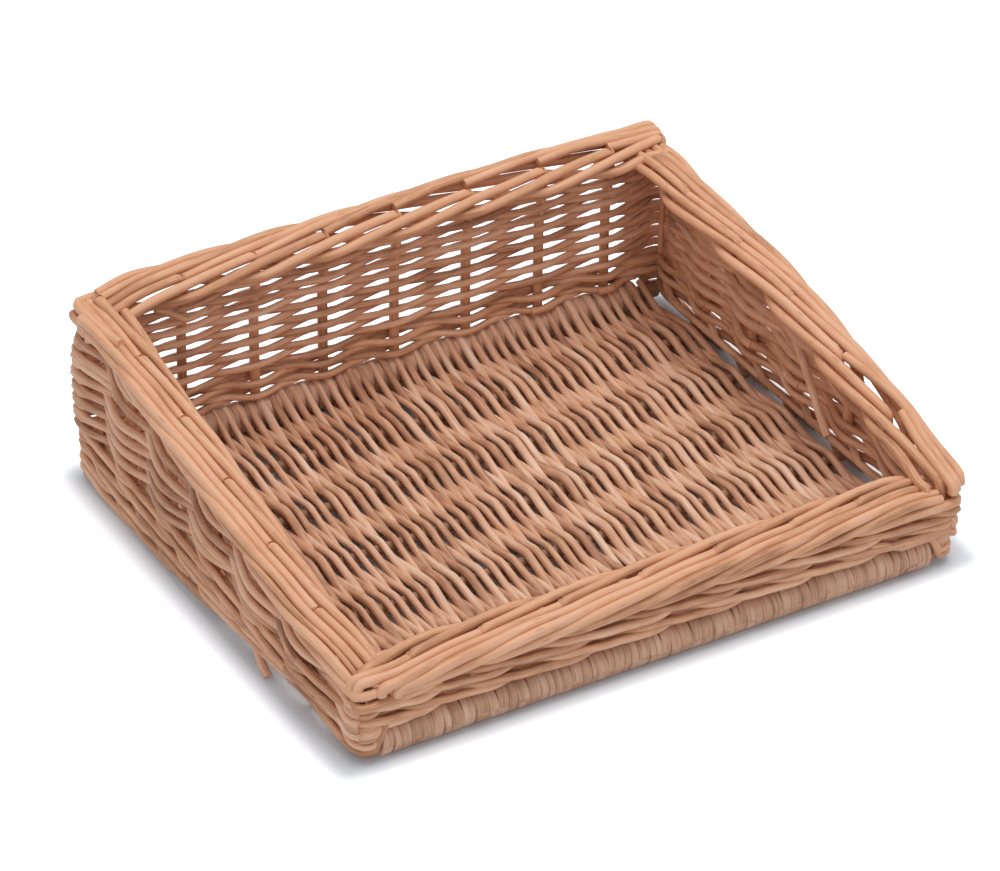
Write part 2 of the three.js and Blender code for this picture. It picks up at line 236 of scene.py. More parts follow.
def willow(name, dark, middle, pale, gloss):
    """Peeled and boiled willow: streaks along the rod, blotches, and small dark bud scars."""
    material = bpy.data.materials.new(name)
    material.use_nodes = True
    nodes, links = material.node_tree.nodes, material.node_tree.links
    shader = nodes["Principled BSDF"]
    grain = nodes.new("ShaderNodeAttribute")
    grain.attribute_name = "grain"
    tone = nodes.new("ShaderNodeAttribute")
    tone.attribute_name = "tone"

    def stretched(texture, scale, **settings):
        """A texture laid along the grain, at a scale per metre."""
        mapping = nodes.new("ShaderNodeMapping")
        mapping.inputs["Scale"].default_value = scale
        pattern = nodes.new(texture)
        links.new(grain.outputs["Vector"], mapping.inputs["Vector"])
        links.new(mapping.outputs["Vector"], pattern.inputs["Vector"])
        for key, value in settings.items():
            pattern.inputs[key].default_value = value
        return pattern

    def mixed(operation, *values):
        """A sum or product of numbers and other nodes' outputs."""
        sum_node = nodes.new("ShaderNodeMath")
        sum_node.operation = operation
        for slot, value in enumerate(values):
            if isinstance(value, (int, float)):
                sum_node.inputs[slot].default_value = value
            else:
                links.new(value, sum_node.inputs[slot])
        return sum_node.outputs[0]

    def spread(value, low, high, start=0, end=1):
        """A value that runs from start to end, made to run from low to high."""
        spreading = nodes.new("ShaderNodeMapRange")
        spreading.inputs["From Min"].default_value = start
        spreading.inputs["From Max"].default_value = end
        spreading.inputs["To Min"].default_value = low
        spreading.inputs["To Max"].default_value = high
        links.new(value, spreading.inputs["Value"])
        return spreading.outputs[0]

    blotch = stretched("ShaderNodeTexNoise", blotch_scale, Scale=1, Detail=3, Roughness=0.6)
    streak = stretched("ShaderNodeTexNoise", streak_scale, Scale=1, Detail=4, Roughness=0.65)
    fibre = stretched("ShaderNodeTexNoise", fibre_scale, Scale=1, Detail=2, Roughness=0.5)
    scar = stretched("ShaderNodeTexVoronoi", scar_scale, Scale=1, Randomness=1)
    paleness = tone.outputs["Fac"]
    for pattern, share in ((blotch, 1), (streak, 1), (fibre, fibre_share)):
        paleness = mixed("MULTIPLY_ADD", pattern.outputs["Fac"], share, mixed("ADD", paleness, -share / 2))
    colours = nodes.new("ShaderNodeValToRGB")
    stops = colours.color_ramp.elements
    stops[0].position, stops[0].color = dark_stop, (*dark, 1)
    stops[1].position, stops[1].color = pale_stop, (*pale, 1)
    centre = stops.new(middle_stop)
    centre.color = (*middle, 1)
    links.new(paleness, colours.inputs["Fac"])
    skin = nodes.new("ShaderNodeMix")
    skin.data_type = "RGBA"
    skin.inputs["B"].default_value = (*[part * shade for part, shade in zip(dark, scar_shade)], 1)
    links.new(spread(scar.outputs["Distance"], scar_strength, 0, *scar_edge), skin.inputs["Factor"])
    links.new(colours.outputs["Color"], skin.inputs["A"])
    links.new(skin.outputs["Result"], shader.inputs["Base Color"])
    rough = spread(streak.outputs["Fac"], least_rough - gloss, most_rough - gloss)
    links.new(rough, shader.inputs["Roughness"])
    shader.inputs["Specular IOR Level"].default_value = shine
    bump = nodes.new("ShaderNodeBump")
    bump.inputs["Strength"].default_value = bump_strength
    bump.inputs["Distance"].default_value = bump_depth
    height = mixed("MULTIPLY_ADD", fibre.outputs["Fac"], fibre_share, streak.outputs["Fac"])
    links.new(height, bump.inputs["Height"])
    links.new(bump.outputs["Normal"], shader.inputs["Normal"])
    return material


def drift(size, along, rod, use):
    """A smooth random offset of about that size, the same in each run. It changes along a rod, and
    the last two numbers only tell rods and uses apart."""
    return size * noise.noise(Vector((along, rod, use)))


def stick_height(number):
    return edge_stick_height if number in (0, side_bays) else floor_stick_height


def stick_radius(number):
    return edge_stick_radius if number in (0, side_bays) else floor_stick_radius


stick_willow = willow("stick_willow", (0.16, 0.08, 0.045), (0.36, 0.19, 0.11), (0.5, 0.3, 0.18), 0.2)
stick_names = ["base_front_stick", *[f"base_stick_{number}" for number in range(1, side_bays)],
               "base_rear_stick"]
for number, node in enumerate(stick_names):
    y = number * stick_pitch - stake_line_y
    y += math.copysign(roll_forward, y) if number in (0, side_bays) else 0
    rod = []
    for step in range(stick_steps + 1):
        x = (2 * step / stick_steps - 1) * (stick_reach if number else front_stick_reach)
        sway = drift(stick_sway, x / sway_length, number * 3.1, 0.5)
        swell = drift(stick_swell, x / swell_length, number * 5.7, 8.5)
        rod.append((x, y + sway, stick_height(number) + sway / 2,
                    stick_radius(number) - stick_thinning + swell))
    stick = lay_rods(node.replace("base", "willow"), [rod], stout_rounding, [chance.uniform(*stick_tones)])
    stick.data.materials.append(stick_willow)
    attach(stick, "root")
    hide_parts(node)


# Floor weavers: nearly a hundred thin buff willow rods laid side by side from front to back, each
# over one base stick and under the next, held by nothing but their own bend.
floor_weaver_radius, floor_radius_spread, floor_taper = 2.68, 0.45, 0.35
floor_weaver_pitch = 4.3
floor_edge = 210.6
floor_bend, floor_crest = 0.985, 1.2
floor_press = 0.6
roll_climb = 10.6
steps_per_bay, step_crowding = 16, 0.09
shared_sway, own_sway, own_rise = 1.8, 1.3, 0.9
floor_table_gap = 0.1
floor_tone_range = (0.3, 0.7)

floor_willow = willow("floor_willow", (0.36, 0.16, 0.09), (0.73, 0.4, 0.245), (0.9, 0.64, 0.475), 0.38)


def over_and_under(turns, sharpness=0.75):
    """The wave of a springy rod over one support and under the next, from 1 to -1. A sharper one
    runs straight from support to support and kinks there."""
    return math.asin(sharpness * math.cos(math.pi * turns)) / math.asin(sharpness)


floor_rods, floor_tones = [], []
floor_count = int(2 * floor_edge / floor_weaver_pitch)
for number in range(floor_count + 1):
    middle_x = (number - floor_count / 2) * floor_weaver_pitch
    own_radius = floor_weaver_radius + chance.uniform(-floor_radius_spread, floor_radius_spread)
    taper = chance.choice((-floor_taper, floor_taper))
    rod = []
    for step in range(side_bays * steps_per_bay + 1):
        before = min(step // steps_per_bay, side_bays - 1)
        share = step / steps_per_bay - before
        share -= step_crowding * math.sin(2 * math.pi * share)
        bay = before + share
        axis = stick_height(before) * (1 - share) + stick_height(before + 1) * share
        radius = own_radius + taper * (bay / side_bays - 0.5)
        climbs = [roll_climb if stick in (0, side_bays) else floor_stick_radius + radius - floor_press
                  for stick in (before, before + 1)]
        climb = climbs[0] * (1 - share) + climbs[1] * share
        wave = over_and_under(bay + number, floor_bend)
        lift = climb * math.copysign(abs(wave) ** floor_crest, wave)
        sideways = drift(shared_sway, number * 0.37, bay * 0.8, 1.2)
        sideways += drift(own_sway, number * 2.3, bay * 1.1, 6.1)
        height = axis + lift + drift(own_rise, number * 3.1, bay * 1.1, 9.7)
        y = bay * stick_pitch - stake_line_y
        y += roll_forward * (max(bay - side_bays + 1, 0) - max(1 - bay, 0))
        rod.append((middle_x + sideways, y, max(height, radius + floor_table_gap), radius))
    floor_rods.append(rod)
    floor_tones.append(chance.uniform(*floor_tone_range))
floor = lay_rods("floor_weavers", floor_rods, thin_rounding, floor_tones)
floor.data.materials.append(floor_willow)
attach(floor, "root")
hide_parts("floor_weave")


# Rolls: at the front and the rear the floor weavers turn round the last stick and back under the
# floor, so each of those sticks is wrapped from end to end in flat, tight turns.
wrap_radius = 9.1
wrap_thickness = 2.3
wrap_count = 60
wrap_width_range = (4.2, 10.4)
wrap_reach = 201.5
wrap_middle = -2
wrap_steps, wrap_sides = 28, 14
wrap_side_power, wrap_face_power = 0.45, 0.34
wrap_half_share = 0.508
wrap_swell, wrap_fullness, swell_share = 0.35, 0.94, 0.4
wrap_lean, lean_turn = 1.1, 0.4
wrap_table_gap = 0.15
wrap_grain_shift = 0.377
wrap_tone_range = (0.42, 0.6)
roll_willow = willow("roll_willow", (0.28, 0.14, 0.08), (0.59, 0.33, 0.21), (0.76, 0.51, 0.36), 0.2)

for side, name in ((-1, "front_roll"), (1, "rear_roll")):
    widths = [chance.uniform(*wrap_width_range) for _ in range(wrap_count)]
    scale = 2 * wrap_reach / sum(widths)
    rings = []
    reached = wrap_middle - wrap_reach
    for width in widths:
        width *= scale
        middle_x = reached + width / 2
        reached += width
        bpy.ops.object.select_all(action="DESELECT")
        bpy.ops.mesh.primitive_torus_add(major_radius=wrap_radius * mm, minor_radius=wrap_thickness * mm,
                                         major_segments=wrap_steps, minor_segments=wrap_sides)
        ring = bpy.context.object
        corners = np.empty(len(ring.data.vertices) * 3)
        ring.data.vertices.foreach_get("co", corners)
        corners = corners.reshape(-1, 3) / mm
        turn = np.arctan2(corners[:, 1], corners[:, 0])
        out = np.hypot(corners[:, 0], corners[:, 1]) - wrap_radius
        side_share = np.clip(corners[:, 2] / wrap_thickness, -1, 1)
        flat_side = np.sign(side_share) * np.abs(side_share) ** wrap_side_power
        across = flat_side * width * wrap_half_share
        out = np.sign(out) * wrap_thickness * np.abs(out / wrap_thickness) ** wrap_face_power
        swell = drift(wrap_swell, middle_x * 0.2, side * 4.4, 2.2)
        lean = chance.uniform(-wrap_lean, wrap_lean)
        reach = wrap_radius + out * np.where(out > 0, wrap_fullness + swell_share * swell, 1)
        places = np.stack([middle_x + across + lean * np.sin(turn + lean_turn),
                           side * (stake_line_y + roll_forward) + reach * np.cos(turn),
                           np.maximum(edge_stick_height + reach * np.sin(turn), wrap_table_gap)], axis=1)
        ring.data.vertices.foreach_set("co", (places * mm).ravel())
        grain = np.stack([across, out, turn * wrap_radius], axis=1) * mm
        grain[:, 2] += len(rings) * wrap_grain_shift
        remember(ring.data, grain, np.full(len(corners), chance.uniform(*wrap_tone_range)))
        rings.append(ring)
    bpy.ops.object.select_all(action="DESELECT")
    for ring in rings:
        ring.select_set(True)
    bpy.context.view_layer.objects.active = rings[0]
    bpy.ops.object.join()
    roll = bpy.context.object
    roll.name = name
    bpy.ops.object.mode_set(mode="EDIT")
    bpy.ops.mesh.select_all(action="SELECT")
    bpy.ops.mesh.normals_make_consistent(inside=False)
    bpy.ops.object.mode_set(mode="OBJECT")
    bpy.ops.object.shade_smooth()
    roll.data.materials.clear()
    roll.data.materials.append(roll_willow)
    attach(roll, "root")
    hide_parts("floor_weave")


# Stakes and corner posts: stout rods that stand round the base and are the warp of the walls. At
# the rim each is bent over to the side and woven with its neighbours into the border, and the
# fillers are the rods that come round each corner from the wall before.
rim_front_height, rim_slope, rim_stretch = 60, 0.226563, 1.02534
corner_dip, corner_dip_reach = 1.5, 70
half_depth = 192
outer_x, outer_y = 230.4, 191.8
left_pinch, right_pinch, pinch_start, pinch_reach = 0.033, 0.003, -105, 80
low_right_pinch, low_height, low_fading = 0.038, 34, 18
wall_bulge, end_bulge = 6.4, 4.2
bulge_end, bulge_rise, bulge_at_foot, bulge_fall = 12, 4, 0.55, 3.2
bulge_edge, bulge_edge_fading = 20, 14
stake_radius, border_rod_radius = 3.4, 3.5
rod_swell, rod_swell_pace = 0.05, 0.13
line_step = 4
front_shares = [0.075, 0.196, 0.334, 0.474, 0.603, 0.736, 0.85]
back_shares = [0.091, 0.215, 0.349, 0.479, 0.607, 0.728, 0.854]
side_shares = [number / side_bays for number in range(1, side_bays)]
walls = [("front", (-1, -1), (1, 0), front_shares), ("right", (1, -1), (0, 1), side_shares),
         ("back", (1, 1), (-1, 0), back_shares), ("left", (-1, 1), (0, -1), side_shares)]
front_wall, right_wall, back_wall, left_wall = range(4)

# A border rod's course from its own stake on, in bays along, lanes outwards and lanes down.
lane = 7.3
border_course = [(0, -0.45, 0), (0.5, -0.95, 0), (1, -1.5, 0.05), (1.5, -2, 0.35), (2, -2.05, 0.95),
                 (2.33, -1.15, 1.35), (2.66, 0.15, 1.5), (3, 1.25, 1.45), (3.5, 1.6, 1.05),
                 (4, 1.65, 0.6), (4.5, 1.6, 0.1), (5, 1.3, 0), (5.5, 0.8, 0), (6, 0.5, 0),
                 (6.5, 0, 0), (6.98, -0.42, 0.2)]
open_course = [(0, -0.45, 0), (0.5, -0.95, 0), (1, -1.5, 0.05), (1.5, -2, 0.35), (2, -2.05, 0.95),
               (2.33, -1.15, 1.35), (2.66, 0.15, 1.6), (3, 1.25, 1.7), (3.5, 1.6, 1.4),
               (4, 1.65, 0.9), (4.5, 1.65, 0.35), (5, 1.65, 0), (5.5, 1.55, 0), (6, 1.45, 0),
               (6.5, 1.2, 0.05), (6.98, 0.9, 0.2)]
course_depths = [[stop[0] for stop in border_course], [stop[2] for stop in border_course]]
loose_walls = {right_wall: (0.15, 0.3), back_wall: (0.35, 0.4)}
loose_start, loose_rise = 15, 45
right_narrowing, narrowing_full, narrowing_reach = 10, 1.25, 130
right_raise, raise_start, raise_rise, raise_end, raise_fading = 4.5, -12, 45, 300, 150
side_jolt, up_jolt, jolt_length = 0.9, 0.7, 45
border_gap = 0.25

# The end of a border rod at the next corner: tucked under, or round the corner and down.
border_inner = 18.5
end_tucks = (12, 12, 12, 18)
end_room, end_sink = 4, 4.2
sinking_reach, round_depth, round_pitch = 60, 1.1, 0.95
round_lanes = {4: 1.15, 3: 1.5}
right_wall_inset = 3
corner_swing = 1.36
round_route = ((10, 0), (28, -0.5), (48, -3.5))
tolerance = 0.01

# The upright of a stake, with the elbow that turns it into the border. A corner post is thinner up
# to a little below the rim.
elbow_reach = 4.2
low_foot, side_foot = 13.5, 15.5
upright_steps, elbow_steps = 6, 5
post_shift, post_foot_out = 2, 3.2
post_thinness, thin_below_rim, thin_fading = 0.6, 26, 12
thin_end_range = (0.84, 0.96)
stake_tone_range, filler_tone_range = (0.34, 0.68), (0.35, 0.68)
seeds_per_wall, filler_seed, filler_swell_seed = 10, 60, 50

# How far along its wall each filler comes up, by its number, or by its wall and number where that
# wall differs. Its route there is ahead, a share outwards, and up.
filler_count, filler_pieces = 6, 3
border_starts = {1: -3, 2: -3, 3: 15, 4: 4, 5: -9, 6: -11, (front_wall, 1): 12.5, (front_wall, 2): 12.5,
                 (right_wall, 4): -4, (back_wall, 3): -3, (back_wall, 4): -3, (back_wall, 5): -3,
                 (back_wall, 6): -3}
filler_clear, filler_thinning = 12, 0.9
last_filler_share = 0.75
filler_route = ((0, 0, -6), (0, 0, -4), (1.6, 0, -1), (6, 0.1, 0))


def wall_of(index):
    """A wall's start, travel, outward direction, length and stake places."""
    name, start, travel, shares = walls[index % 4]
    travel = Vector(travel)
    outward = Vector((travel.y, -travel.x))
    length = 2 * (stake_line_x if travel.x else stake_line_y)
    start = Vector((start[0] * stake_line_x, start[1] * stake_line_y))
    return start, travel, outward, length, [0, *[share * length for share in shares], length]


def eased(share):
    """A share kept from 0 to 1, with a soft start and end."""
    share = min(max(share, 0), 1)
    return share * share * (3 - 2 * share)


def rim(place):
    """Height of the rim, which slopes from front to back and dips a little at its corners."""
    near = math.hypot(abs(place[0]) - stake_line_x, abs(place[1]) - stake_line_y)
    dip = corner_dip * (1 - eased(near / corner_dip_reach))
    return rim_front_height + (place[1] + half_depth) * rim_slope - dip


def along_at(stops, count):
    """Distance along a wall at a count of its stakes."""
    before = min(max(int(math.floor(count)), 0), len(stops) - 2)
    return stops[before] + (stops[before + 1] - stops[before]) * (count - before)


def bowed(place, z):
    """A place in a wall at a height, moved outwards as the walls bow between floor and rim."""
    share = min(max(z / (rim(place) - bulge_end), 0), 1)
    profile = eased(share * bulge_rise + bulge_at_foot) * eased((1 - share) * bulge_fall)
    x, y = place[0], place[1]
    beside = eased((abs(x) - stake_line_x + bulge_edge) / bulge_edge_fading)
    at_end = eased((abs(y) - stake_line_y + bulge_edge) / bulge_edge_fading)
    x += math.copysign(wall_bulge * profile * beside, x)
    y += math.copysign(end_bulge * profile * at_end, y)
    return Vector((x, y, z))


def smooth_line(points, step):
    """Points close together on a smooth line through all those given."""
    ends = [points[0] * 2 - points[1], *points, points[-1] * 2 - points[-2]]
    line = []
    for before, here, after, beyond in zip(ends, ends[1:], ends[2:], ends[3:]):
        count = max(int((after - here).length / step), 2)
        for number in range(count):
            s = number / count
            line.append(0.5 * ((2 * here) + (after - before) * s
                               + (2 * before - 5 * here + 4 * after - beyond) * s ** 2
                               + (3 * here - before - 3 * after + beyond) * s ** 3))
    return [*line, points[-1]]


def looseness(index, along, length):
    """How open the border is: at the back towards the right, and at the right towards the front."""
    if index % 4 not in loose_walls:
        return 0
    kept, fading = loose_walls[index % 4]
    return eased((along - loose_start) / loose_rise) * (1 - eased((along / length - kept) / fading))


def border_spot(index, count, course_count, wander):
    """Place of a border rod at a count of stakes along a wall, by its count along its course."""
    start, travel, out, length, stops = wall_of(index)
    if 0 <= count <= len(stops) - 1:
        along = along_at(stops, count)
    elif count < 0:
        along = count * stops[1]
    else:
        along = length + (count - len(stops) + 1) * (length - stops[-2])
    loose = looseness(index, along, length)
    counts = [stop[0] for stop in border_course]
    lanes = [a[1] + (b[1] - a[1]) * loose for a, b in zip(border_course, open_course)]
    depths = [a[2] + (b[2] - a[2]) * loose for a, b in zip(border_course, open_course)]
    outward = float(np.interp(course_count, counts, lanes)) * lane
    below = float(np.interp(course_count, counts, depths)) * lane
    if index % 4 == right_wall:
        outward -= right_narrowing * eased(narrowing_full - (length - along) / narrowing_reach)
        raising = right_raise * eased((along - raise_start) / raise_rise)
        below -= raising * eased((raise_end - along) / raise_fading)
    place = start + travel * along + out * outward
    sideways = drift(side_jolt, along / jolt_length, wander, 1)
    upwards = drift(up_jolt, along / jolt_length, wander, 5)
    place += out * (sideways if outward < lane else -abs(sideways))
    height = rim(place) - (stake_radius + border_gap + below) * rim_stretch - abs(upwards)
    return Vector((place.x, place.y, height)), along


def border_run(index, stake, wander, first=0.0):
    """Course of a rod along the border after its elbow. At the next corner it ends under the next
    wall's rods, or, where it is low on the outside, it goes on round the corner below them."""
    start, travel, out, length, stops = wall_of(index)
    at_corner = len(stops) - 1 - stake
    last_spot = length - border_inner + end_tucks[index % 4]
    wraps_round = at_corner in round_lanes
    run = []
    for bays in sorted({stop[0] for stop in border_course if stop[0] > first} | {first}):
        spot, along = border_spot(index, stake + bays, bays, wander)
        if stake + bays < -tolerance or along > (length if wraps_round else last_spot - end_room):
            continue
        if wraps_round:
            near = eased(1 - (length - along) / sinking_reach)
            wanted = round_depth + round_pitch * (max(round_lanes) - at_corner)
            spot.z -= near * lane * (wanted - float(np.interp(bays, *course_depths)))
        run.append(spot)
    if wraps_round:
        _, next_travel, next_out, _, _ = wall_of(index + 1)
        corner = Vector((*(start + travel * length), run[-1].z))
        outer = round_lanes[at_corner] * lane - (right_wall_inset if index % 4 == right_wall else 0)
        run.append(corner + Vector((*(out + next_out).normalized(), 0)) * outer * corner_swing)
        for ahead, change in round_route:
            run.append(corner + Vector((*(next_travel * ahead + next_out * (outer + change)), 0)))
    elif at_corner <= math.ceil(border_course[-1][0]):
        count = float(np.interp(last_spot, stops, range(len(stops))))
        run.append(border_spot(index, count, count - stake, wander)[0] - Vector((0, 0, end_sink)))
    return run


def kept_inside(x, y, z, radius):
    """A place drawn in a little towards the front corners, and kept within the tray's outer size.
    At the front right corner the foot is drawn in more than the border."""
    pinch = left_pinch
    if x > 0:
        pinch = low_right_pinch + (right_pinch - low_right_pinch) * eased((z - low_height) / low_fading)
    x *= 1 - pinch * eased((pinch_start - y) / pinch_reach)
    return min(max(x, radius - outer_x), outer_x - radius), min(max(y, radius - outer_y), outer_y - radius)


def with_radius(line, thick, thin, seed):
    """Points with a radius that tapers from thick to thin, and swells a little here and there."""
    rod = []
    for number, place in enumerate(line):
        share = number / (len(line) - 1)
        radius = thick + (thin - thick) * share
        radius *= 1 + drift(rod_swell, number * rod_swell_pace, seed, 4.5)
        rod.append((*kept_inside(place.x, place.y, place.z, radius), place.z, radius))
    return rod


border_willow = willow("border_willow", (0.38, 0.165, 0.08), (0.72, 0.37, 0.205), (0.84, 0.49, 0.32), 0.36)
for index, (wall, *_) in enumerate(walls):
    start, travel, outward, length, stops = wall_of(index)
    for number in range(len(stops) - 1):
        seed = index * seeds_per_wall + number
        run = border_run(index, number, seed)
        corner = run[0]
        foot = start + travel * stops[number]
        if number == 0:
            corner = corner - Vector((*travel, 0)) * post_shift
            foot += (outward - travel).normalized() * post_foot_out
        foot_height = low_foot if travel.x or number == 0 else side_foot
        upright_top = corner.z - elbow_reach
        uprights = []
        for step in range(upright_steps + 1):
            share = step / upright_steps
            z = foot_height + (upright_top - foot_height) * share
            spot = bowed(foot, z)
            lean = (corner.to_2d() - foot) * share ** 2
            uprights.append(Vector((spot.x + lean.x, spot.y + lean.y, z)))
        over = corner + (run[1] - corner).normalized() * elbow_reach
        elbow = []
        for step in range(1, elbow_steps):
            s = step / elbow_steps
            elbow.append(uprights[-1] * (1 - s) ** 2 + corner * 2 * s * (1 - s) + over * s ** 2)
        line = smooth_line([*uprights, *elbow, over, *run[1:]], line_step)
        thin_end = border_rod_radius * chance.uniform(*thin_end_range)
        rod = with_radius(line, border_rod_radius, thin_end, seed)
        if number == 0:
            slim = rim(foot) - thin_below_rim
            thickening = 1 - post_thinness
            rod = [(x, y, z, radius * (post_thinness + thickening * eased((z - slim) / thin_fading)))
                   for x, y, z, radius in rod]
        node = f"{wall}_corner_post" if number == 0 else f"{wall}_stake_{number}"
        stake = lay_rods(node.replace("stake", "rod").replace("post", "rod"), [rod], stout_rounding,
                         [chance.uniform(*stake_tone_range)])
        stake.data.materials.append(border_willow)
        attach(stake, "root")
        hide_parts(node)
    for piece_number in range(1, filler_pieces + 1):
        rods = []
        for number in range(piece_number, filler_count + 1, filler_pieces):
            run = border_run(index, -number, filler_seed + index * seeds_per_wall + number, number)
            edge = start + travel * border_starts.get((index, number), border_starts[number])
            run = [place for place in run if (place.to_2d() - edge).dot(travel) > filler_clear]
            outer = (run[0].to_2d() - start).dot(outward)
            drawn_in = outer > 0 and number > filler_count - 2
            top = edge + outward * (outer * (last_filler_share if drawn_in else 1))
            start_height = run[0].z - (rim_slope * (run[0].y - top.y) if index == right_wall else 0)
            points = [Vector((*(top + travel * ahead + outward * outer * share), start_height + rise))
                      for ahead, share, rise in filler_route]
            rods.append(with_radius(smooth_line([*points, *run], line_step), border_rod_radius,
                                    border_rod_radius * filler_thinning, filler_swell_seed + number))
        filler = lay_rods(f"{wall}_border_end_{piece_number}", rods, stout_rounding,
                          [chance.uniform(*filler_tone_range) for _ in rods])
        filler.data.materials.append(border_willow)
        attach(filler, "root")
        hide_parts(f"{wall}_border_filler_{piece_number}")


# Wale: two rounds of three stout rods woven together round the foot of the walls. Each rod goes
# outside two stakes and inside the third. At the sides two more rounds fill the foot of the wall,
# down to the table.
wale_bottom, wale_top = 23.6, 43
side_wale_bottom, side_wale_middle = 2.8, 13.4
roll_clearance, roll_end, roll_end_fading = 11.2, 5, 7
corner_radius = 3
bays_round = [0, 8, 14, 22, 28]
wale_rounds = 2
wale_pitch = (wale_top - wale_bottom) / wale_rounds
corner_crowding, corner_steps, plain_steps = 18, 40, 13
wale_pattern = [(0, 1, 1), (0.5, 1.1, 0), (1, 1, -1), (1.5, 0, -1), (2, -1, -0.9), (2.5, 0, 1), (3, 1, 1)]
wale_bays = wale_pattern[-1][0]
wale_thick_range, wale_thin_range, wale_tone_range = (2.55, 2.9), (2.3, 2.6), (0.3, 0.7)
wale_tilt, back_wale_tilt = 0.24, 0.15
wale_wander, wander_pace = 0.5, 1.3
ending_bays, ending_tuck = 0.5, 1.4
corner_pull, corner_pull_reach = 0.5, 16
wale_table_gap = 0.3
wale_start, wale_stop = 1.15, 0.85
wale_lengths, shortest_rest, wale_seed_range = (3, 4, 5), 6, (0, 50)

# The foot rounds: how they climb to the wale round the corners and keep clear of the floor's edge.
# The left foot's rise is a list of places along the wall and one of how far it is raised there.
corner_rise, rise_reach, side_fall, fall_reach = 3, 30, 8, 40
foot_rise = [[-190, -166, -152, -137, -122, -90, -55, 0, 57, 150, 185],
             [3, 5, 11, 19, 23, 19, 14, 7, -1, -5, 3]]
rise_middle, rise_spread, rise_squeeze = 0.65, 0.35, 0.65
climb_reach, climb_extra = 46, 1
inner_from, inner_height, inner_drop, inner_limit = 0.5, 14, 6.5, 5.6
low_start, low_stop, low_stagger = 1.25, 1.35, 0.2
high_overlap, high_stagger, high_shift, high_raise, high_share = 0.3, 0.1, 1.5, 0.5, 0.55
wale_willow = willow("wale_willow", (0.36, 0.16, 0.08), (0.72, 0.375, 0.215), (0.88, 0.55, 0.36), 0.34)


def around(t):
    """Place, outward direction, distance to the nearest corner and wall, at a count of stakes round
    the tray from its front left corner."""
    t %= bays_round[-1]
    index = max(i for i in range(len(walls)) if bays_round[i] <= t)
    start, travel, outward, length, stops = wall_of(index)
    along = along_at(stops, t - bays_round[index])
    near = min(along, length - along)
    sign = -1 if along < length / 2 else 1
    place = start + travel * along
    direction = outward
    if near < corner_radius:
        turn = math.radians(45) * (1 - near / corner_radius)
        direction = outward * math.cos(turn) + travel * (sign * math.sin(turn))
        end = start if sign < 0 else start + travel * length
        centre = end - travel * (sign * corner_radius) - outward * corner_radius
        place = centre + direction * corner_radius
    return place, direction, near, index


def steps_between(first, last):
    """Counts of stakes from first to last, closer together at the corners."""
    counts = [first]
    while counts[-1] < last - 1e-6:
        near = around(counts[-1])[2]
        counts.append(min(counts[-1] + 1 / (corner_steps if near < corner_crowding else plain_steps), last))
    return counts


def wale_course(turns):
    """Outward and upward position of a waling rod, over its three bays."""
    turns %= wale_bays
    for (a, out_a, up_a), (b, out_b, up_b) in zip(wale_pattern, wale_pattern[1:]):
        if a <= turns <= b:
            s = (turns - a) / (b - a)
            s = (1 - math.cos(math.pi * s)) / 2
            return out_a + (out_b - out_a) * s, up_a + (up_b - up_a) * s


wale_rods, wale_tones = [], []


def wale_rod(first, last, shift, low, high, foot_share=0):
    """One waling rod from first to last count of stakes, between two heights. A foot share says
    how far it follows the rise of the foot, and it's above 0 in the foot rounds only."""
    seed = chance.uniform(*wale_seed_range)
    thick, thin = chance.uniform(*wale_thick_range), chance.uniform(*wale_thin_range)
    if chance.random() < 0.5:
        thick, thin = thin, thick
    counts = steps_between(first, last)
    rod = []
    for t in counts:
        out, up = wale_course(t + shift)
        place, direction, near, index = around(t)
        share = (t - counts[0]) / (counts[-1] - counts[0])
        radius = thick + (thin - thick) * share
        outermost = stake_radius + radius
        at_side = index in (right_wall, left_wall)
        tilt = back_wale_tilt if index == back_wall else wale_tilt
        raised = corner_rise * (1 - eased(near / rise_reach))
        if at_side:
            raised = corner_rise - side_fall * eased(near / fall_reach)
        if index == left_wall:
            raised = float(np.interp(place.y, *foot_rise)) * (rise_middle + rise_spread * out)
        raised *= foot_share
        z = low + raised + (0.5 + tilt * up) * (high - low - rise_squeeze * raised)
        z += drift(wale_wander, t * wander_pace, seed, 0.3)
        offset = out * outermost
        if foot_share:
            rise = 0 if at_side else eased(near / climb_reach)
            z += rise * (wale_bottom + climb_extra - low)
            if at_side and out < inner_from:
                z = max(z, inner_height + radius - inner_drop * (out + 1))
            offset = max(offset, -inner_limit) if at_side else offset + (outermost - offset) * (1 - rise)
        if not at_side and near > roll_end:
            height_over = z - edge_stick_height
            clear = roll_clearance + radius
            if offset > 0 and math.hypot(offset - roll_forward, height_over) < clear:
                wanted = math.sqrt(max(clear ** 2 - (offset - roll_forward) ** 2, 0))
                z += (wanted - height_over) * eased((near - roll_end) / roll_end_fading)
        z = max(z, radius + wale_table_gap)
        ending = max(0, 1 - min(t - counts[0], counts[-1] - t) / ending_bays)
        offset -= ending_tuck * ending ** 2
        spot = bowed(place, z)
        offset += (outermost - offset) * corner_pull * (1 - eased(near / corner_pull_reach))
        x, y = kept_inside(spot.x + direction.x * offset, spot.y + direction.y * offset, z, radius)
        rod.append((x, y, z, radius))
    wale_rods.append(rod)
    wale_tones.append(chance.uniform(*wale_tone_range))


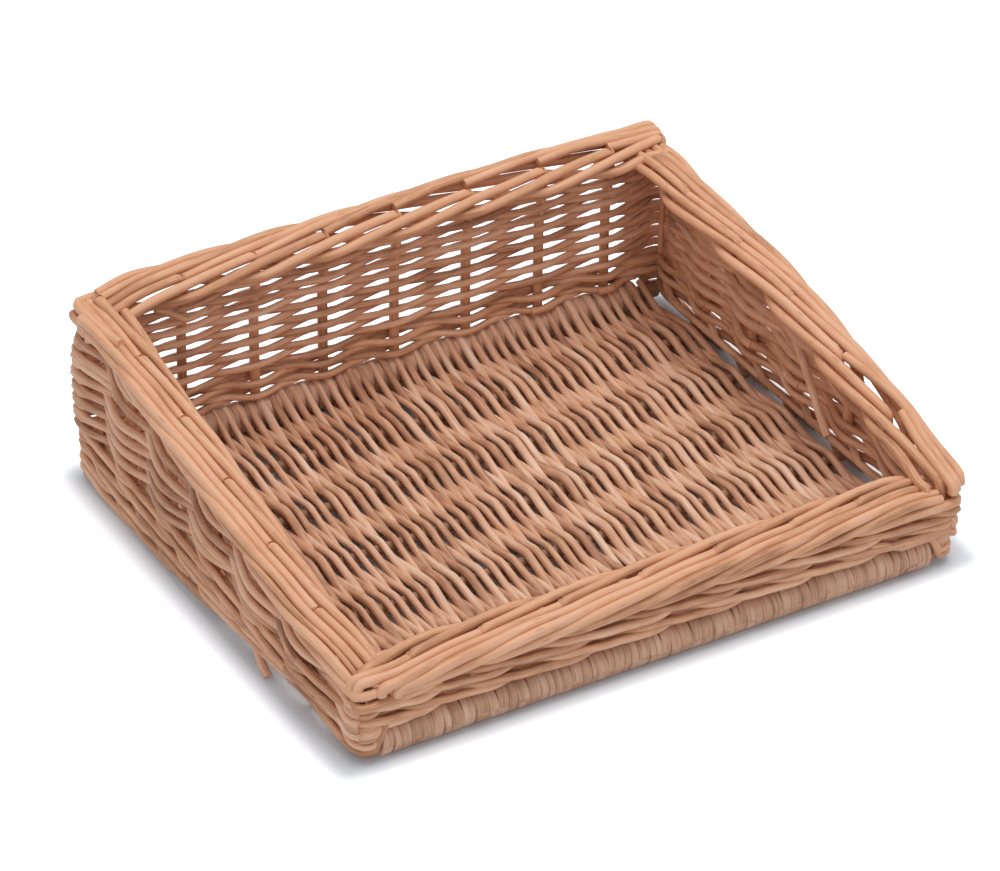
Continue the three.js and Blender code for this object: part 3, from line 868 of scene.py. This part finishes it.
three_times_round = wale_bays * bays_round[-1]
for number in range(wale_rounds):
    low = wale_bottom + number * wale_pitch
    reached = 0.0
    while reached < three_times_round:
        last = min(reached + wale_bays * chance.choice(wale_lengths), three_times_round)
        if three_times_round - last < shortest_rest:
            last = three_times_round
        wale_rod(reached - wale_start, last - wale_stop, 0, low, low + wale_pitch)
        reached = last
for first, last in ((bays_round[1], bays_round[2]), (bays_round[3], bays_round[4])):
    for shift in range(wale_bays):
        wale_rod(first - low_start + low_stagger * shift, last + low_stop - low_stagger * shift, shift,
                 side_wale_bottom, side_wale_middle, 1)
        wale_rod(first - high_overlap - high_stagger * shift, last + high_overlap + high_stagger * shift,
                 shift + high_shift, side_wale_middle, wale_bottom + high_raise, high_share)
wale = lay_rods("wale_rods", wale_rods, thin_rounding, wale_tones)
wale.data.materials.append(wale_willow)
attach(wale, "root")
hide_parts("front_wale", "right_wale", "back_wale", "left_wale")


# Wall weave: single thinner rods worked in front of one stake and behind the next, round the
# right, back and left walls. The lower rows are level, and the last few follow the sloping rim.
level_rows, row_pitch = 12, 5.05
sloping_rows, sloping_pitch = 5, 4.75
border_depth = 17.6
row_tilt, row_wander = 0.8, 0.7
weave_radius = 2.55
weave_thick_range, weave_thin_range, weave_tone_range = (2.75, 3.1), (2.55, 2.85), (0.26, 0.72)
thinner_at_back, thinning_reach = 0.35, 30
corner_blend, corner_out = 22, 3
weave_lengths, shortest_weaver, weave_overlap, weave_seed_range = (4, 6, 6, 8), 2, 0.22, (0, 90)
inside_from, inside_to = 9, 22
tuck_bays, tuck_thinning, tuck_in = 0.5, 0.3, 1.5
places_tried, shortest_run = 400, 12
right_wall_stakes, left_wall_stakes, wrong_side_cost = range(8, 15), range(21, 29), 9
row_end_reach, row_press = 0.15, 0.4
stub_radius, stub_step, stub_tone = 2.9, 3, 0.6
stubs = [[(213, -4, 72), (208.5, -28, 56), (205.5, -46, 41), (204, -60, 29)],
         [(-173, 172, 121), (-165, 169.5, 117), (-154, 165, 110)],
         [(-219, -52, 26), (-225, -64, 17), (-226.5, -74, 7.5), (-226, -80, 3)]]
weave_willow = willow("weave_willow", (0.36, 0.165, 0.09), (0.75, 0.405, 0.245), (0.9, 0.585, 0.41), 0.34)
weave_rods, weave_tones = [], []


def weave_rod(number, first, last, height_at, ragged):
    """A run of one row between two counts of stakes, in rods of a few bays that overlap. A rod
    ends out of sight, behind a stake, and a ragged run is tucked in at both ends."""
    reached = first
    while reached < last - tolerance:
        stop = min(reached + chance.choice(weave_lengths), last)
        stop = stop if last - stop > shortest_weaver else last
        if stop < last:
            stop = round(stop)
            seen_from_inside = inside_from < stop < inside_to
            if ((stop + number) % 2 == 0) != seen_from_inside:
                stop += 1
            stop = min(stop, last)
        seed = chance.uniform(*weave_seed_range)
        thick, thin = chance.uniform(*weave_thick_range), chance.uniform(*weave_thin_range)
        if chance.random() < 0.5:
            thick, thin = thin, thick
        counts = steps_between(reached - (weave_overlap if reached > first else 0),
                               stop + (weave_overlap if stop < last else 0))
        rod = []
        for t in counts:
            place, direction, near, index = around(t)
            share = (t - counts[0]) / (counts[-1] - counts[0])
            radius = thick + (thin - thick) * share
            radius -= thinner_at_back * eased(near / thinning_reach) if index == back_wall else 0
            wave = over_and_under(t + number)
            z = height_at(t, place, radius)
            z += -row_tilt * wave + drift(row_wander, t * 0.8, number * 4.1, seed)
            tuck = max(0, 1 - min(t - first, last - t) / tuck_bays) if ragged else 0
            radius *= 1 - tuck_thinning * tuck
            offset = wave * (stake_radius + radius) - tuck_in * tuck
            offset += (stake_radius + radius + corner_out - offset) * (1 - eased(near / corner_blend))
            spot = bowed(place, z)
            x, y = kept_inside(spot.x + direction.x * offset, spot.y + direction.y * offset, z, radius)
            rod.append((x, y, z, radius))
        weave_rods.append(rod)
        weave_tones.append(chance.uniform(*weave_tone_range))
        reached = stop


def band_bottom(place):
    """Height of the underside of the sloping rows."""
    return rim(place) - border_depth - sloping_rows * sloping_pitch * rim_stretch


def nearest_end(stakes, wanted, row):
    """The stake nearest to a wanted one that the row's rod passes on the side where it can end."""
    return min(stakes, key=lambda t: abs(t - wanted) + wrong_side_cost * ((t + row) % 2))


walls_start, walls_end = bays_round[1], bays_round[4]
for number in range(level_rows):
    height = wale_top + (number + 0.5) * row_pitch
    fits = [[]]
    for count in range(places_tried + 1):
        t = walls_start + (walls_end - walls_start) * count / places_tried
        if band_bottom(around(t)[0]) > height - weave_radius / 2:
            fits[-1].append(t)
        elif fits[-1]:
            fits.append([])
    for run in fits:
        if len(run) > shortest_run:
            start = max(nearest_end(right_wall_stakes, run[0], number) - row_end_reach, walls_start)
            end = min(nearest_end(left_wall_stakes, run[-1], number + 1) + row_end_reach, walls_end)
            weave_rod(number, start, end, lambda t, place, radius: min(
                height, band_bottom(place) - radius + row_press), True)
for number in range(sloping_rows):
    below = (sloping_rows - 0.5 - number) * sloping_pitch * rim_stretch
    weave_rod(level_rows + number, walls_start, walls_end,
              lambda t, place, radius: rim(place) - border_depth - below, False)

# Three stub ends of rods, cut off where they come out of the right wall, the back wall and the
# left foot.
for stub in stubs:
    weave_rods.append([(*place, stub_radius) for place in smooth_line([Vector(point) for point in stub],
                                                                      stub_step)])
    weave_tones.append(stub_tone)
weave = lay_rods("wall_weavers", weave_rods, thin_rounding, weave_tones)
weave.data.materials.append(weave_willow)
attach(weave, "root")
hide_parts("right_wall_weave", "back_wall_weave", "left_wall_weave")
